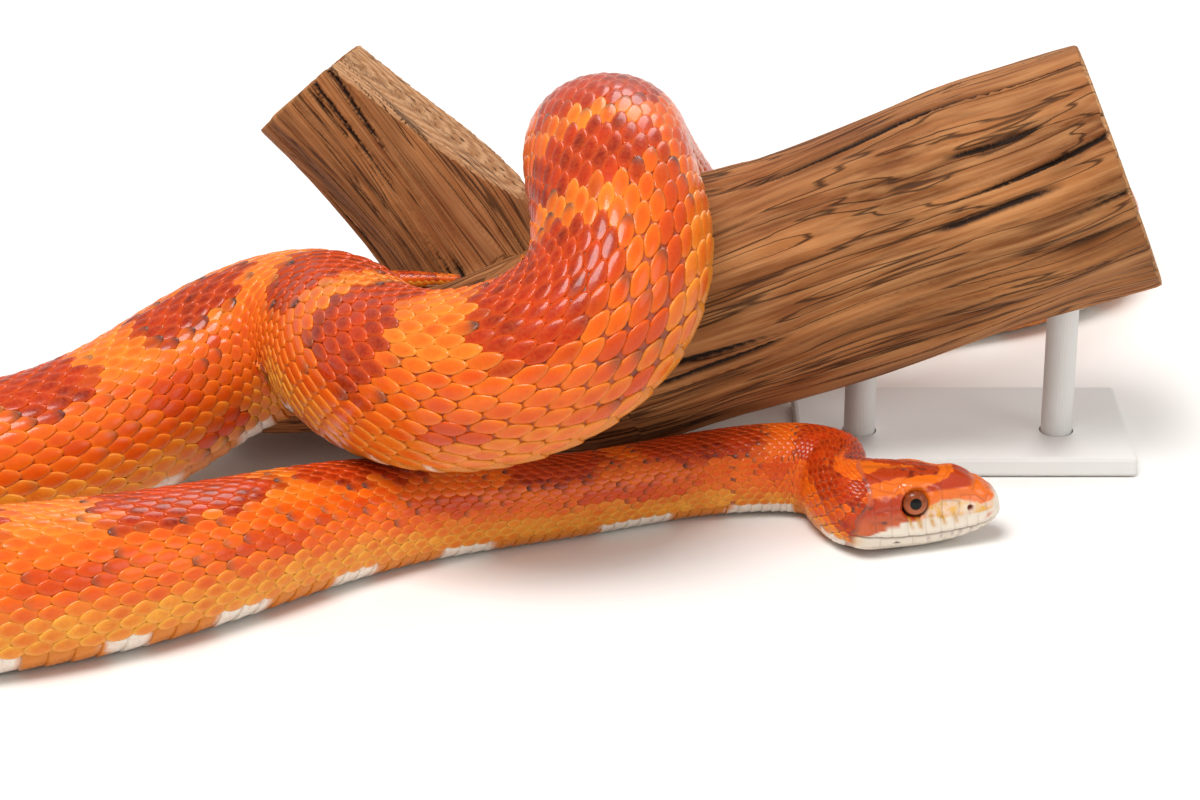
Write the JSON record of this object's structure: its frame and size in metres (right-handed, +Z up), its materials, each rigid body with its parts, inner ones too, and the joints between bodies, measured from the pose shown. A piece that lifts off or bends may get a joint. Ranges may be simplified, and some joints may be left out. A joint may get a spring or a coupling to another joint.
{
  "type": "corn snake model on a driftwood perch",
  "caption": "Life-size still corn snake resting on the floor and looped over a cut length of driftwood that a plain display stand holds.",
  "frame": {"origin": "centre of the stand base's underside, on the surface that the model rests on", "axes": "+X the way the head looks, +Y away from the viewer of the picture, +Z up"},
  "size_m": [0.3438, 0.2351, 0.0828],
  "materials": {
    "head_skin": "smooth glossy scales",
    "jaw_skin": "smooth satin scales",
    "eye": "clear gloss over a red-brown iris and a black pupil",
    "body_skin": "glossy overlapping scales, orange with dark red saddles and a white belly",
    "driftwood": "dry weathered grain with dark cracks",
    "stand_paint": "matt white paint",
    "stand_rod": "matt white paint"
  },
  "bodies": {
    "root": {"head": "head_skin", "lower_jaw": "jaw_skin", "eye_left": "eye", "eye_right": "eye", "neck": "body_skin", "forebody_front": "body_skin", "forebody_back": "body_skin", "turn_entry": "body_skin", "turn_near": "body_skin", "turn_far": "body_skin", "turn_exit": "body_skin", "midbody_floor": "body_skin", "midbody_rise": "body_skin", "midbody_hump": "body_skin", "loop_entry": "body_skin", "loop_front": "body_skin", "loop_bottom": "body_skin", "loop_rise": "body_skin", "crown": "body_skin", "descent": "body_skin", "hindbody_front": "body_skin", "hindbody_turn_in": "body_skin", "hindbody_turn_out": "body_skin", "hindbody_middle": "body_skin", "hindbody_back": "body_skin", "tail_base": "body_skin", "tail_turn": "body_skin", "tail_rise": "body_skin", "tail_tip": "body_skin", "perch": "driftwood", "stand_base": "stand_paint", "stand_rod_1": "stand_rod", "stand_rod_2": "stand_rod"}
  },
  "joints": []
}
